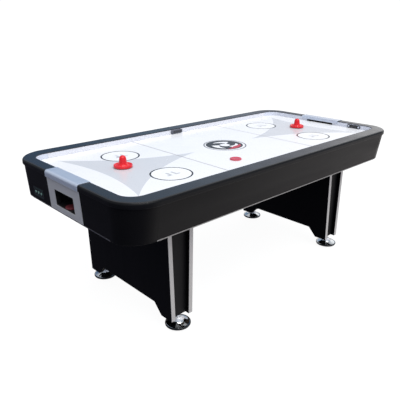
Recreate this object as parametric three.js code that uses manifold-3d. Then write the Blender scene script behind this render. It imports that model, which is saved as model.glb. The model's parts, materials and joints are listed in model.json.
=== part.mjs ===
// Air hockey table, millimetres, +Z up, origin on the floor under the middle of the table.
// +X runs along the table from the left goal to the right goal, +Y to the far side.
import * as THREE from 'three';
import { mergeVertices } from 'three/addons/utils/BufferGeometryUtils.js';
import Module from 'manifold-3d';

const manifold = await Module();
manifold.setup();

// ---- Driving dimensions ----
const LENGTH = 2134;                 // over the two goal caps
const WIDTH = 1067;
const HEIGHT = 787;                  // floor to rail top
const GAP = 0.3;                     // clearance between pieces that touch

const CAP_SKIN = 2.7;                // goal cap sheet
const NOSE_X = LENGTH / 2 - CAP_SKIN - GAP;
const NOSE_Y = WIDTH / 2;
const OUTER_RADIUS = 155;            // plan radius of the outer corners
const INNER_RADIUS = 78;             // plan radius of the playing area's corners
const SIDE_RAIL = 88;
const FIELD_X = 1001;                // half length of the playing area
const FIELD_Y = NOSE_Y - SIDE_RAIL;
const CORNER_X = 908;                // where straight rails meet the corner caps
const CORNER_Y = 364;

const NOSE_HEIGHT = 28;              // side face of the top rail
const NOSE_BEVEL = 13;
const LIP = 4;                       // rail edge that covers the inner wall
const WALL_THICK = 7.5;

const FIELD_Z = 755;                 // playing surface
const FIELD_THICK = 12;
const TRIM_Z = 591;                  // lowest edge of the table's body
const TRIM_HEIGHT = 5;
const APRON_Z = TRIM_Z + TRIM_HEIGHT;
const APRON_TOP = HEIGHT - NOSE_HEIGHT;
const APRON_THICK = 16;
const APRON_SETBACK = 7;             // apron top, in from the nose
const SIDE_LEAN = 29;                // how far the side aprons lean in over their height
const END_LEAN = 9;

const GOAL_WIDTH = 220;
const SLOT_HEIGHT = 12;
const GOAL_CAP_WIDTH = 304;
const WINDOW_WIDTH = 178;
const WINDOW_LOW = 626;
const WINDOW_HIGH = 707;

const TRAY_X = 944;
const TRAY_Y = 468;
const TRAY_Z = 684;
const TRAY_WALL = 15;
const TRAY_FLOOR = 6;

const LEG_X = 675;                   // leg centre, both ends
const LEG_TOP = 660;
const LEG_BOTTOM = 53;
const LEG_HALF_BOTTOM = 67.5;
const LEG_HALF_TOP = 83;
const LEG_HALF_WIDTH = 374;
const BOARD_THICK = 24;
const NOTCH_TOP = 110;
const NOTCH_HALF_TOP = 239;
const NOTCH_HALF_BOTTOM = 292;
const PANEL_RECESS = 22;
const PANEL_THICK = 16;

const FOOT_Y = 340;
const FOOT_RADIUS = 66;
const STEM_RADIUS = 8;

const PUSHER_RADIUS = 48;
const PUSHER_HEIGHT = 62;
const FELT = 2;
const PUCK_RADIUS = 31.5;
const PUCK_THICK = 6.5;

const BLOWER_RADIUS = 112;

// ---- Finishes: colour, roughness, metalness ----
const RAIL_BLACK = [0x3d4350, 0.32, 0];
const APRON_BLACK = [0x1b1b1e, 0.45, 0];
const FIELD_WHITE = [0xf3f4f7, 0.25, 0];
const WALL_GREY = [0xdcdde6, 0.4, 0];
const SILVER = [0xa9b0bc, 0.38, 0.6];
const ALUMINIUM = [0xb8babd, 0.3, 0.9];
const CHROME = [0xd8dade, 0.12, 1];
const DARK_PLASTIC = [0x131316, 0.5, 0];
const SLATE_PLASTIC = [0x565c69, 0.4, 0];
const PALE_PLASTIC = [0xd5dae6, 0.35, 0];
const RED_PLASTIC = [0xe0161f, 0.25, 0];
const PUCK_RED = [0xc93c50, 0.35, 0];
const GREEN_KEY = [0x7fd0a4, 0.35, 0];
const FELT_GREY = [0x3a3a3c, 0.95, 0];
const TRAY_BOARD = [0x8b6f4e, 0.7, 0];
const STEEL = [0x8d9196, 0.35, 0.9];

const group = new THREE.Group();
group.name = 'air_hockey_table';

function add(name, geometry, finish, place = [0, 0, 0]) {
  const [color, roughness, metalness] = finish;
  const material = new THREE.MeshStandardMaterial({ color, roughness, metalness });
  const mesh = new THREE.Mesh(geometry, material);
  mesh.name = name;
  mesh.position.set(...place);
  group.add(mesh);
  return mesh;
}

// ---- Solid helpers ----
function toSolid(geometry) {
  const bare = geometry.clone();
  for (const key of ['normal', 'uv']) bare.deleteAttribute(key);
  const welded = mergeVertices(bare, 1e-4);
  return new manifold.Manifold(new manifold.Mesh({
    numProp: 3,
    vertProperties: new Float32Array(welded.attributes.position.array),
    triVerts: new Uint32Array(welded.index.array),
  }));
}

function fromSolid(solid) {
  const mesh = solid.getMesh();
  const geometry = new THREE.BufferGeometry();
  geometry.setAttribute('position', new THREE.BufferAttribute(new Float32Array(mesh.vertProperties), 3));
  geometry.setIndex(new THREE.BufferAttribute(new Uint32Array(mesh.triVerts), 1));
  geometry.computeVertexNormals();
  return geometry;
}

function combine(base, { plus = [], minus = [] }) {
  let solid = toSolid(base);
  for (const piece of plus) solid = solid.add(toSolid(piece));
  for (const piece of minus) solid = solid.subtract(toSolid(piece));
  return fromSolid(solid);
}

function box(x0, x1, y0, y1, z0, z1) {
  const geometry = new THREE.BoxGeometry(x1 - x0, y1 - y0, z1 - z0);
  return geometry.translate((x0 + x1) / 2, (y0 + y1) / 2, (z0 + z1) / 2);
}

function cylinder(radius, z0, z1, x = 0, y = 0, segments = 32) {
  const geometry = new THREE.CylinderGeometry(radius, radius, z1 - z0, segments);
  return geometry.rotateX(Math.PI / 2).translate(x, y, (z0 + z1) / 2);
}

// A turned piece: [radius, height] points, closed on the axis or back onto the first point.
function turned(profile, segments = 32) {
  const points = profile.map(([radius, height]) => new THREE.Vector2(radius, height));
  return faceOutward(new THREE.LatheGeometry(points, segments).rotateX(Math.PI / 2));
}

function outline(points) {
  return new THREE.Shape(points.map(([u, v]) => new THREE.Vector2(u, v)));
}

// A flat outline in the X-Y plane, raised from z0 to z1.
function slab(shape, z0, z1, curveSegments = 8) {
  const options = { depth: z1 - z0, bevelEnabled: false, curveSegments };
  return new THREE.ExtrudeGeometry(shape, options).translate(0, 0, z0);
}

// An outline of [y, z] points, run along X from x0 to x1.
function alongX(points, x0, x1) {
  const geometry = slab(outline(points), 0, x1 - x0);
  geometry.applyMatrix4(new THREE.Matrix4().set(0, 0, 1, 0, 1, 0, 0, 0, 0, 1, 0, 0, 0, 0, 0, 1));
  return geometry.translate(x0, 0, 0);
}

// An outline of [x, z] points, run along Y from y0 to y1.
function alongY(points, y0, y1) {
  const geometry = slab(outline(points), 0, y1 - y0);
  return geometry.rotateX(Math.PI / 2).translate(0, y1, 0);
}

function roundedBox(halfX, halfY, radius) {
  const shape = new THREE.Shape();
  shape.moveTo(halfX - radius, -halfY);
  shape.absarc(halfX - radius, -halfY + radius, radius, -Math.PI / 2, 0);
  shape.absarc(halfX - radius, halfY - radius, radius, 0, Math.PI / 2);
  shape.absarc(-halfX + radius, halfY - radius, radius, Math.PI / 2, Math.PI);
  shape.absarc(-halfX + radius, -halfY + radius, radius, Math.PI, Math.PI * 1.5);
  return shape;
}

// ---- Rails, walls and aprons: one section carried along the table's rim ----
// A section point is [edge, inset, z]: 'in' counts outward from the playing area's edge and
// 'out' counts inward from the nose. leanX and leanY add to the inset at ends and sides.
function rimPoint(station, [edge, inset, z, leanX = 0, leanY = 0]) {
  const { angle, cut, signX, signY } = station;
  const [cos, sin] = [Math.cos(angle), Math.sin(angle)];
  let x;
  let y;
  if (edge === 'out') {
    x = NOSE_X - OUTER_RADIUS + (OUTER_RADIUS - inset - leanX) * cos;
    y = NOSE_Y - OUTER_RADIUS + (OUTER_RADIUS - inset - leanY) * sin;
  } else {
    x = FIELD_X - INNER_RADIUS + (INNER_RADIUS + inset) * cos;
    y = FIELD_Y - INNER_RADIUS + (INNER_RADIUS + inset) * sin;
  }
  if (cut === 'x') x = station.at;
  if (cut === 'y') y = station.at;
  return [signX * x, signY * y, z];
}

function carrySection(section, stations) {
  const rings = stations.map((station) => section.map((point) => rimPoint(station, point)));
  const count = section.length;
  const positions = rings.flat(2);
  const index = [];
  for (let ring = 0; ring + 1 < rings.length; ring += 1) {
    for (let k = 0; k < count; k += 1) {
      const next = (k + 1) % count;
      const [a, b] = [ring * count + k, ring * count + next];
      index.push(a, b, a + count, b, b + count, a + count);
    }
  }
  const caps = [[0, 1], [rings.length - 1, -1]];
  for (const [ring, turn] of caps) {
    const flat = rings[ring].map(([x, y, z]) => new THREE.Vector2(stations[ring].cut === 'x' ? y : x, z));
    for (const [a, b, c] of THREE.ShapeUtils.triangulateShape(flat, [])) {
      const [p, q, r] = [a, b, c].map((k) => ring * count + k);
      const area = crossArea(flat[a], flat[b], flat[c]) * crossArea2(flat) * turn;
      if (area > 0) index.push(p, r, q);
      else index.push(p, q, r);
    }
  }
  const geometry = new THREE.BufferGeometry();
  geometry.setAttribute('position', new THREE.Float32BufferAttribute(positions, 3));
  geometry.setIndex(index);
  return faceOutward(geometry);
}

function crossArea(a, b, c) {
  return Math.sign((b.x - a.x) * (c.y - a.y) - (b.y - a.y) * (c.x - a.x));
}

function crossArea2(points) {
  return Math.sign(THREE.ShapeUtils.area(points));
}

function signedVolume(geometry) {
  const { array } = geometry.attributes.position;
  const corner = (k) => new THREE.Vector3().fromArray(array, k * 3);
  const order = geometry.index.array;
  let volume = 0;
  for (let k = 0; k < order.length; k += 3) {
    const [a, b, c] = [corner(order[k]), corner(order[k + 1]), corner(order[k + 2])];
    volume += a.dot(b.cross(c));
  }
  return volume;
}

function faceOutward(geometry) {
  if (signedVolume(geometry) < 0) {
    const order = geometry.index.array;
    for (let k = 0; k < order.length; k += 3) [order[k + 1], order[k + 2]] = [order[k + 2], order[k + 1]];
  }
  geometry.computeVertexNormals();
  return geometry;
}

// Straight stretches and the corner between them, in the quarter given by the two signs.
function sideStations(signY) {
  const half = { angle: Math.PI / 2, cut: 'x', signX: 1, signY };
  return [{ ...half, at: -CORNER_X + GAP / 2 }, { ...half, at: CORNER_X - GAP / 2 }];
}

function endStations(signX) {
  const half = { angle: 0, cut: 'y', signX, signY: 1 };
  return [{ ...half, at: -CORNER_Y + GAP / 2 }, { ...half, at: CORNER_Y - GAP / 2 }];
}

function cornerStations(signX, signY, steps = 10) {
  const stations = [{ angle: Math.PI / 2, cut: 'x', at: CORNER_X + GAP / 2, signX, signY }];
  for (let step = 0; step <= steps; step += 1) {
    stations.push({ angle: (Math.PI / 2) * (1 - step / steps), signX, signY });
  }
  stations.push({ angle: 0, cut: 'y', at: CORNER_Y + GAP / 2, signX, signY });
  return stations;
}

const UNDER_NOSE = APRON_SETBACK + APRON_THICK + 4;

const railSection = [
  ['in', 0, HEIGHT - LIP],
  ['in', 0, HEIGHT - 1.2],
  ['in', 1.2, HEIGHT],
  ['out', NOSE_BEVEL, HEIGHT],
  ['out', 4.5, HEIGHT - 3.5],
  ['out', 0, HEIGHT - 10],
  ['out', 0, APRON_TOP + 2.3],
  ['out', 2, APRON_TOP + GAP],
  ['out', UNDER_NOSE, APRON_TOP + GAP],
  ['out', UNDER_NOSE, FIELD_Z + GAP],
  ['in', WALL_THICK + 1.3, FIELD_Z + GAP],
  ['in', WALL_THICK + 1.3, HEIGHT - LIP],
];

const wallSection = [
  ['in', 1, FIELD_Z + GAP],
  ['in', 1, HEIGHT - LIP - GAP],
  ['in', 1 + WALL_THICK, HEIGHT - LIP - GAP],
  ['in', 1 + WALL_THICK, FIELD_Z + GAP],
];

function apronSection(low, top) {
  const leanAt = (z) => {
    const share = (APRON_TOP - z) / (APRON_TOP - TRIM_Z);
    return [END_LEAN * share, SIDE_LEAN * share];
  };
  const inset = APRON_SETBACK;
  return [
    ['out', inset, top, ...leanAt(top)],
    ['out', inset, low, ...leanAt(low)],
    ['out', inset + APRON_THICK, low, ...leanAt(low)],
    ['out', inset + APRON_THICK, top, ...leanAt(top)],
  ];
}

const trimSection = [
  ['out', APRON_SETBACK - 1.2, APRON_Z - GAP, END_LEAN, SIDE_LEAN],
  ['out', APRON_SETBACK - 1.2, TRIM_Z, END_LEAN, SIDE_LEAN],
  ['out', APRON_SETBACK + APRON_THICK, TRIM_Z, END_LEAN, SIDE_LEAN],
  ['out', APRON_SETBACK + APRON_THICK, APRON_Z - GAP, END_LEAN, SIDE_LEAN],
];

const CAP_WALL = 5;
const cornerSection = [
  ['in', 0, HEIGHT - LIP],
  ['in', 0, HEIGHT - 1.2],
  ['in', 1.2, HEIGHT],
  ['out', NOSE_BEVEL, HEIGHT],
  ['out', 4.5, HEIGHT - 3.5],
  ['out', 0, HEIGHT - 10],
  ['out', 0, APRON_TOP + 2.3],
  ['out', 2, APRON_TOP],
  ['out', APRON_SETBACK, APRON_TOP],
  ['out', APRON_SETBACK, TRIM_Z, END_LEAN, SIDE_LEAN],
  ['out', APRON_SETBACK + CAP_WALL, TRIM_Z, END_LEAN, SIDE_LEAN],
  ['out', APRON_SETBACK + CAP_WALL, HEIGHT - 16],
  ['out', APRON_SETBACK + CAP_WALL + 10, HEIGHT - LIP],
];

function apronFaceX(z) {
  return NOSE_X - APRON_SETBACK - END_LEAN * ((APRON_TOP - z) / (APRON_TOP - TRIM_Z));
}

// ---- Playing area ----
function addPlayfield() {
  const inside = UNDER_NOSE - 4;
  const [halfX, halfY] = [NOSE_X - inside - 2, NOSE_Y - inside - 4];
  const board = slab(roundedBox(halfX, halfY, OUTER_RADIUS - inside), FIELD_Z - FIELD_THICK, FIELD_Z);
  const pockets = [-1, 1].map((side) => {
    const [near, far] = [FIELD_X, halfX + 5].map((x) => side * x);
    const half = GOAL_WIDTH / 2 + 3;
    return box(Math.min(near, far), Math.max(near, far), -half, half, FIELD_Z - 30, FIELD_Z + 30);
  });
  add('playfield_board', combine(board, { minus: pockets }), FIELD_WHITE);
}

function addSideWalls() {
  for (const [name, signY] of [['near', -1], ['far', 1]]) {
    add(`side_wall_${name}`, carrySection(wallSection, sideStations(signY)), WALL_GREY);
  }
}

// Each end wall is one moulding: both rounded corners and the straight with the goal slot.
function addEndWalls() {
  for (const [name, signX] of [['left', -1], ['right', 1]]) {
    const far = cornerStations(signX, 1, 9).slice(0, -1);
    const near = cornerStations(signX, -1, 9).slice(0, -1).reverse();
    const wall = carrySection(wallSection, [...far, ...near]);
    const half = GOAL_WIDTH / 2;
    const [x0, x1] = signX > 0 ? [FIELD_X - 9, FIELD_X + 19] : [-FIELD_X - 19, -FIELD_X + 9];
    const slot = box(x0, x1, -half, half, FIELD_Z - 5, FIELD_Z + SLOT_HEIGHT);
    add(`end_wall_${name}`, combine(wall, { minus: [slot] }), WALL_GREY);
  }
}

// ---- Rails, corner caps, aprons and trim ----
function addRails() {
  for (const [name, signY] of [['near', -1], ['far', 1]]) {
    add(`top_rail_${name}`, carrySection(railSection, sideStations(signY)), RAIL_BLACK);
  }
  for (const [name, signX] of [['left', -1], ['right', 1]]) {
    const rail = carrySection(railSection, endStations(signX));
    const half = GOAL_WIDTH / 2 + 3;
    const [x0, x1] = [FIELD_X - 5, NOSE_X - UNDER_NOSE + 6].map((x) => signX * x);
    const tunnel = box(Math.min(x0, x1), Math.max(x0, x1), -half, half, FIELD_Z - 5, FIELD_Z + 19);
    add(`top_rail_${name}`, combine(rail, { minus: [tunnel] }), RAIL_BLACK);
  }
}

function addCornerCaps() {
  for (const [sideName, signY] of [['near', -1], ['far', 1]]) {
    for (const [endName, signX] of [['left', -1], ['right', 1]]) {
      const cap = carrySection(cornerSection, cornerStations(signX, signY, 12));
      add(`corner_cap_${sideName}_${endName}`, cap, RAIL_BLACK);
    }
  }
}

function addAprons() {
  const section = apronSection(APRON_Z, APRON_TOP);
  for (const [name, signY] of [['near', -1], ['far', 1]]) {
    add(`apron_${name}`, carrySection(section, sideStations(signY)), APRON_BLACK);
    add(`apron_trim_${name}`, carrySection(trimSection, sideStations(signY)), ALUMINIUM);
  }
  for (const [name, signX] of [['left', -1], ['right', 1]]) {
    const apron = carrySection(section, endStations(signX));
    const half = WINDOW_WIDTH / 2 + SNOUT_WALL + GAP;
    const [x0, x1] = signX > 0 ? [1000, 1100] : [-1100, -1000];
    const low = WINDOW_LOW - SNOUT_WALL - GAP;
    const holes = [box(x0, x1, -half, half, low, WINDOW_HIGH + SNOUT_WALL + GAP)];
    if (name === 'left') holes.push(controlRecess());
    add(`apron_${name}`, combine(apron, { minus: holes }), APRON_BLACK);
    add(`apron_trim_${name}`, carrySection(trimSection, endStations(signX)), ALUMINIUM);
  }
}

// ---- Goals ----
const SNOUT_WALL = 4;
const BOX_HALF = GOAL_WIDTH / 2 + 3;
const BOX_BACK = 960;
const BOX_FRONT = 1033;
const BOX_FLOOR = WINDOW_LOW;
const BOX_WALL = 3;

// A folded sheet that hugs the end rail, its nose and the apron, with the return window.
function addGoalCaps() {
  const lipLow = FIELD_Z + SLOT_HEIGHT + 3;
  const face = (z, out) => [apronFaceX(z) + out, z];
  const low = APRON_Z + 1;
  const inner = [
    [FIELD_X - GAP, lipLow],
    [FIELD_X - GAP, HEIGHT + GAP],
    [NOSE_X - NOSE_BEVEL, HEIGHT + GAP],
    [NOSE_X - 4.5 + GAP, HEIGHT - 3.5 + GAP],
    [NOSE_X + GAP, HEIGHT - 10],
    [NOSE_X + GAP, APRON_TOP - 1],
    [face(APRON_TOP, GAP)[0] + 0.5, APRON_TOP - 6],
    face(low, GAP),
  ];
  const skin = CAP_SKIN;
  const outer = [
    face(low, GAP + skin),
    [face(APRON_TOP, GAP)[0] + skin + 0.5, APRON_TOP - 8],
    [NOSE_X + GAP + skin, APRON_TOP - 3],
    [NOSE_X + GAP + skin, HEIGHT - 9],
    [NOSE_X - 3.5 + skin, HEIGHT - 2.5 + skin],
    [NOSE_X - NOSE_BEVEL + 1, HEIGHT + GAP + skin],
    [FIELD_X - skin + 1, HEIGHT + GAP + skin],
    [FIELD_X - GAP - skin, HEIGHT + GAP + skin - 2],
    [FIELD_X - GAP - skin, lipLow],
  ];
  for (const [name, signX] of [['left', -1], ['right', 1]]) {
    const sheet = alongY([...inner, ...outer], -GOAL_CAP_WIDTH / 2, GOAL_CAP_WIDTH / 2);
    const half = WINDOW_WIDTH / 2;
    const window = box(1030, 1100, -half, half, WINDOW_LOW, WINDOW_HIGH);
    const cap = combine(sheet, { minus: [window] });
    if (signX < 0) cap.rotateZ(Math.PI);
    add(`goal_cap_${name}`, cap, SILVER);
  }
}

// Open-topped tray behind the window: the puck drops in and is taken out through the snout.
function addGoalBoxes() {
  for (const [name, signX] of [['left', -1], ['right', 1]]) {
    const top = FIELD_Z - FIELD_THICK - GAP;
    const half = WINDOW_WIDTH / 2;
    const tray = box(BOX_BACK, BOX_FRONT, -BOX_HALF, BOX_HALF, BOX_FLOOR - BOX_WALL, top);
    const snout = box(BOX_FRONT - 2, NOSE_X - 16.5, -half - SNOUT_WALL, half + SNOUT_WALL,
      WINDOW_LOW - SNOUT_WALL, WINDOW_HIGH + SNOUT_WALL);
    const wall = BOX_WALL;
    const inside = box(BOX_BACK + wall, BOX_FRONT - wall, -BOX_HALF + wall, BOX_HALF - wall,
      BOX_FLOOR, top + 5);
    const passage = box(BOX_FRONT - 8, NOSE_X, -half, half, WINDOW_LOW, WINDOW_HIGH);
    const goalBox = combine(tray, { plus: [snout], minus: [inside, passage] });
    if (signX < 0) goalBox.rotateZ(Math.PI);
    add(`goal_box_${name}`, goalBox, DARK_PLASTIC);
  }
}

// ---- Air system ----
function addAirTray() {
  const top = FIELD_Z - FIELD_THICK - GAP;
  const tray = box(-TRAY_X, TRAY_X, -TRAY_Y, TRAY_Y, TRAY_Z, top);
  const [inX, inY] = [TRAY_X - TRAY_WALL, TRAY_Y - TRAY_WALL];
  const inside = box(-inX, inX, -inY, inY, TRAY_Z + TRAY_FLOOR, top + 5);
  const port = cylinder(BLOWER_RADIUS - 6, TRAY_Z - 5, TRAY_Z + 20);
  add('air_tray', combine(tray, { minus: [inside, port] }), TRAY_BOARD);
}

function addBlower() {
  const r = BLOWER_RADIUS;
  const top = TRAY_Z - GAP;
  const low = 604;
  const housing = turned([
    [r + 20, top], [r + 20, top - 4], [r, top - 4], [r, low], [66, low], [66, low + 3],
    [r - 3, low + 3], [r - 3, top], [r + 20, top],
  ], 28);
  add('blower_housing', housing, DARK_PLASTIC);
  addIntakeGrille(low - GAP);
  const motor = turned([
    [0, low], [30, low], [30, low + 40], [26, low + 44], [4, low + 44], [4, low + 66], [0, low + 66],
  ], 24);
  add('blower_motor', motor, STEEL);
  addImpeller(low + 10);
}

function addIntakeGrille(top) {
  const ring = slab(ringShape(76, 60), top - 2.5, top, 9);
  const middle = slab(ringShape(46, 40), top - 2.5, top, 8);
  const seat = cylinder(32, top - 2.5, top, 0, 0, 16);
  const spokes = [0, 1, 2].map((k) => box(-70, 70, -2.5, 2.5, top - 2.5, top).rotateZ((k * Math.PI) / 3));
  add('intake_grille', combine(ring, { plus: [middle, seat, ...spokes] }), DARK_PLASTIC);
}

function ringShape(outer, inner) {
  const shape = new THREE.Shape();
  shape.absarc(0, 0, outer, 0, Math.PI * 2);
  const hole = new THREE.Path();
  hole.absarc(0, 0, inner, 0, Math.PI * 2, true);
  shape.holes.push(hole);
  return shape;
}

// Plug fan: hub and back plate on the shaft, slanted blades, inlet ring below.
function addImpeller(low) {
  const high = low + 52;
  const backPlate = turned([
    [4.05, high - 14], [12, high - 14], [12, high - 3], [94, high - 3], [94, high], [4.05, high],
    [4.05, high - 14],
  ], 24);
  const inletRing = slab(ringShape(94, 56), low, low + 2.5, 12);
  const blades = Array.from({ length: 9 }, (_, k) => {
    const blade = box(-19, 19, -1.2, 1.2, low + 1, high - 1).rotateZ(0.6);
    return blade.translate(74, 0, 0).rotateZ((k * Math.PI * 2) / 9);
  });
  add('blower_impeller', combine(backPlate, { plus: [inletRing, ...blades] }), DARK_PLASTIC);
}

function addPowerBox() {
  const [x0, y0] = [230, -300];
  const top = TRAY_Z - GAP;
  const casing = box(x0, x0 + 130, y0, y0 + 80, top - 46, top);
  const inlet = box(x0 + 50, x0 + 78, y0 + 26, y0 + 46, top - 50, top - 34);
  add('power_supply_box', combine(casing, { minus: [inlet] }), DARK_PLASTIC);
}

// ---- Scoring and controls ----
function addScoreDisplay() {
  const shape = roundedBox(44, 6.5, 4);
  const face = FIELD_Y + 1 - GAP;
  const body = slab(shape, FIELD_Z + 3, HEIGHT - LIP - 1, 4);
  const screen = box(-33, 38, -8, -4.5, FIELD_Z + 8, HEIGHT - LIP - 6);
  add('score_display', combine(body, { minus: [screen] }), SLATE_PLASTIC, [-8, face - 6.5, 0]);
}

const SCORE_Y = -283;
const SCORE_Z = FIELD_Z + 13;
const SCORE_KEY = 38;

// Pill-shaped unit on the right end wall, with a key at each end.
function addScoreUnit() {
  const wallFace = FIELD_X + 1 - GAP;
  const pill = onEndWall(roundedBox(50, 10, 9.9), 0, 5);
  const wells = [-1, 1].map((side) => onEndWall(circleShape(6.5, side * SCORE_KEY), 1.2, 9));
  add('score_unit', combine(pill, { minus: wells }), DARK_PLASTIC, [wallFace, SCORE_Y, SCORE_Z]);
  for (const [name, side] of [['near', -1], ['far', 1]]) {
    const key = onEndWall(circleShape(6.2, 0), 2.7, 7);
    add(`score_button_${name}`, key, PALE_PLASTIC, [wallFace, SCORE_Y + side * SCORE_KEY, SCORE_Z]);
  }
}

// An outline of (across, up) on a plane facing -X, from depth a to depth b in front of it.
function onEndWall(shape, a, b) {
  const geometry = slab(shape, a, b, 6);
  geometry.applyMatrix4(new THREE.Matrix4().set(0, 0, -1, 0, -1, 0, 0, 0, 0, 1, 0, 0, 0, 0, 0, 1));
  return geometry;
}

function circleShape(radius, across) {
  const shape = new THREE.Shape();
  shape.absarc(-across, 0, radius, 0, Math.PI * 2);
  return shape;
}

const CONTROL_Y = 281;
const CONTROL_Z = 637;
const CONTROL_TILT = Math.atan(END_LEAN / (APRON_TOP - TRIM_Z));
const KEY_STEP = 30;

// Stand a piece made on the flat end plane into the leaning face of the left apron.
function ontoApron(geometry) {
  geometry.rotateY(-CONTROL_TILT);
  return geometry.translate(-apronFaceX(CONTROL_Z), CONTROL_Y, CONTROL_Z);
}

function controlRecess() {
  return ontoApron(onEndWall(roundedBox(56.3, 26.3, 6.3), -9, 5));
}

function addControls() {
  const plate = onEndWall(roundedBox(56, 26, 6), -8.5, 1);
  const keys = [1, 0, -1];
  const wells = keys.map((place) => onEndWall(circleShape(7.4, place * KEY_STEP), -5, 5));
  add('control_plate', ontoApron(combine(plate, { minus: wells })), DARK_PLASTIC);
  const names = ['power_button', 'reset_button', 'sound_button'];
  keys.forEach((place, k) => {
    const key = onEndWall(circleShape(7, place * KEY_STEP), -3, 2.6);
    add(names[k], ontoApron(key), GREEN_KEY);
  });
}

// ---- Legs ----
function legHalf(z) {
  const share = (z - LEG_BOTTOM) / (LEG_TOP - LEG_BOTTOM);
  return LEG_HALF_BOTTOM + (LEG_HALF_TOP - LEG_HALF_BOTTOM) * share;
}

// Lean a piece with height: every point's distance from the leg's middle follows the taper.
function leanWithLeg(geometry, side) {
  const { position } = geometry.attributes;
  for (let k = 0; k < position.count; k += 1) {
    position.setX(k, position.getX(k) + side * (legHalf(position.getZ(k)) - LEG_HALF_BOTTOM));
  }
  geometry.computeVertexNormals();
  return geometry;
}

function legBoard(side) {
  const w = LEG_HALF_WIDTH;
  const shape = [
    [-w, LEG_BOTTOM], [-NOTCH_HALF_BOTTOM, LEG_BOTTOM], [-NOTCH_HALF_TOP, NOTCH_TOP],
    [NOTCH_HALF_TOP, NOTCH_TOP], [NOTCH_HALF_BOTTOM, LEG_BOTTOM], [w, LEG_BOTTOM],
    [w, LEG_TOP - GAP], [-w, LEG_TOP - GAP],
  ];
  const [x0, x1] = [LEG_HALF_BOTTOM - BOARD_THICK, LEG_HALF_BOTTOM];
  const board = side > 0 ? alongX(shape, x0, x1) : alongX(shape, -x1, -x0);
  return leanWithLeg(board, side);
}

// Recessed end panel with the foot block that holds the leveler's threaded seat.
function legEndPanel(signY) {
  const front = LEG_HALF_WIDTH - PANEL_RECESS;
  const back = front - PANEL_THICK;
  const section = [
    [front, LEG_BOTTOM + 3], [front, LEG_TOP - GAP], [back, LEG_TOP - GAP], [back, 135],
    [front - 42, 100], [front - 42, LEG_BOTTOM + 3],
  ];
  const half = LEG_HALF_TOP + 1;
  const blank = alongX(section.map(([y, z]) => [signY * y, z]), -half, half);
  const inner = (z) => legHalf(z) - BOARD_THICK - GAP;
  const waist = alongY([
    [-inner(0), 0], [inner(0), 0], [inner(LEG_TOP + 40), LEG_TOP + 40], [-inner(LEG_TOP + 40), LEG_TOP + 40],
  ], -LEG_HALF_WIDTH, LEG_HALF_WIDTH);
  const seat = cylinder(STEM_RADIUS + 0.5, 0, LEG_BOTTOM + 46, 0, signY * FOOT_Y, 20);
  const solid = toSolid(faceOutwardBare(blank)).intersect(toSolid(waist)).subtract(toSolid(seat));
  return fromSolid(solid);
}

function faceOutwardBare(geometry) {
  const bare = geometry.clone();
  for (const key of ['normal', 'uv']) bare.deleteAttribute(key);
  return faceOutward(mergeVertices(bare, 1e-4));
}

function addLegs() {
  for (const [name, signX] of [['left', -1], ['right', 1]]) {
    const centre = [signX * LEG_X, 0, 0];
    add(`${name}_leg_outer_board`, legBoard(signX), APRON_BLACK, centre);
    add(`${name}_leg_inner_board`, legBoard(-signX), APRON_BLACK, centre);
    for (const [side, signY] of [['near', -1], ['far', 1]]) {
      add(`${name}_leg_panel_${side}`, legEndPanel(signY), APRON_BLACK, centre);
      add(`${name}_leveler_${side}`, leveler(), CHROME, [signX * LEG_X, signY * FOOT_Y, 0]);
    }
    const plate = box(-LEG_HALF_TOP, LEG_HALF_TOP, -LEG_HALF_WIDTH, LEG_HALF_WIDTH, LEG_TOP, TRAY_Z - GAP);
    add(`${name}_leg_top_plate`, plate, TRAY_BOARD, centre);
  }
}

// Stepped, dished foot with a round hub and a plain stem in place of its thread.
function leveler() {
  const r = FOOT_RADIUS;
  return turned([
    [0, 0], [r - 2, 0], [r, 2], [r, 8], [r - 5, 12], [r - 16, 14], [44, 20], [26, 24],
    [24, 38], [20, 43], [STEM_RADIUS, 43.5], [STEM_RADIUS, 84], [0, 84],
  ], 28);
}

// ---- Pushers and pucks ----
function addPusher(name, x, y) {
  const r = PUSHER_RADIUS;
  const h = PUSHER_HEIGHT;
  const body = turned([
    [0, 0], [r - 2, 0], [r, 2], [r, 12], [r - 3, 14], [r - 8, 11], [r - 14, 9],
    [28, 10], [23, 16], [20, 26], [17.5, 38], [15.5, 48], [11.5, 56], [0, 60],
  ].map(([radius, z]) => [radius, (z * (h - FELT)) / 60]), 28);
  const base = FIELD_Z + GAP;
  add(`${name}_pusher`, body, RED_PLASTIC, [x, y, base + FELT + GAP / 3]);
  add(`${name}_pusher_felt`, cylinder(r - 3, 0, FELT, 0, 0, 28), FELT_GREY, [x, y, base]);
}

function puck() {
  const [r, t] = [PUCK_RADIUS, PUCK_THICK];
  return turned([
    [0, 0], [r - 1, 0], [r, 1], [r, t - 1], [r - 1, t], [0, t],
  ], 28);
}

addPlayfield();
addSideWalls();
addEndWalls();
addRails();
addCornerCaps();
addAprons();
addGoalCaps();
addGoalBoxes();
addAirTray();
addBlower();
addPowerBox();
addScoreDisplay();
addScoreUnit();
addControls();
addLegs();
addPusher('left', -709, 28);
addPusher('right', 739, 12);
add('puck', puck(), PUCK_RED, [-185, -262, FIELD_Z + GAP]);
add('spare_puck', puck(), PUCK_RED, [-1016, 4, BOX_FLOOR + GAP]);

export default group;
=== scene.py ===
import json
import math

import bmesh
import bpy
from mathutils import Matrix, Vector


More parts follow.
